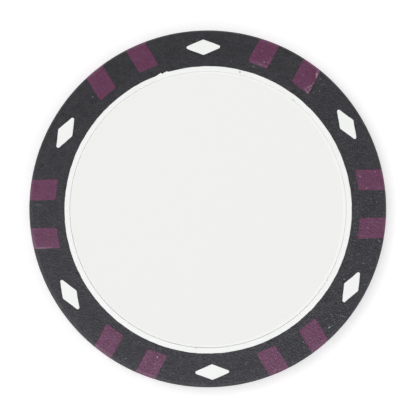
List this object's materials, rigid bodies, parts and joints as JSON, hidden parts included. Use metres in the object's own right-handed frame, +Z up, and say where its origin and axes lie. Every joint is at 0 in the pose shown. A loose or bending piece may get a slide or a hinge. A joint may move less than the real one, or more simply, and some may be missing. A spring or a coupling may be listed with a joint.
{
  "type": "poker chip",
  "caption": "Round composite poker chip with a white core around a hidden metal slug, purple edge spots and white diamonds set flush in a dark rim, and a plain label on each face.",
  "frame": {"origin": "centre of the chip's lower face", "axes": "+Z up through the chip, square to its faces; +X through the middle of a pair of edge spots; +Y through a diamond"},
  "size_m": [0.04, 0.04, 0.0033],
  "materials": {
    "slug_steel": "stamped mild steel, hidden inside the core",
    "white_plastic": "satin moulded white",
    "purple_plastic": "fine-grained moulded purple",
    "black_plastic": "fine-grained moulded charcoal black",
    "label_film": "matt film, bare"
  },
  "bodies": {
    "root": {"steel_slug": "slug_steel", "white_core": "white_plastic", "edge_spot_01": "purple_plastic", "edge_spot_02": "purple_plastic", "edge_spot_03": "purple_plastic", "edge_spot_04": "purple_plastic", "edge_spot_05": "purple_plastic", "edge_spot_06": "purple_plastic", "edge_spot_07": "purple_plastic", "edge_spot_08": "purple_plastic", "edge_spot_09": "purple_plastic", "edge_spot_10": "purple_plastic", "edge_spot_11": "purple_plastic", "edge_spot_12": "purple_plastic", "black_rim": "black_plastic", "front_label": "label_film", "back_label": "label_film"}
  },
  "joints": []
}
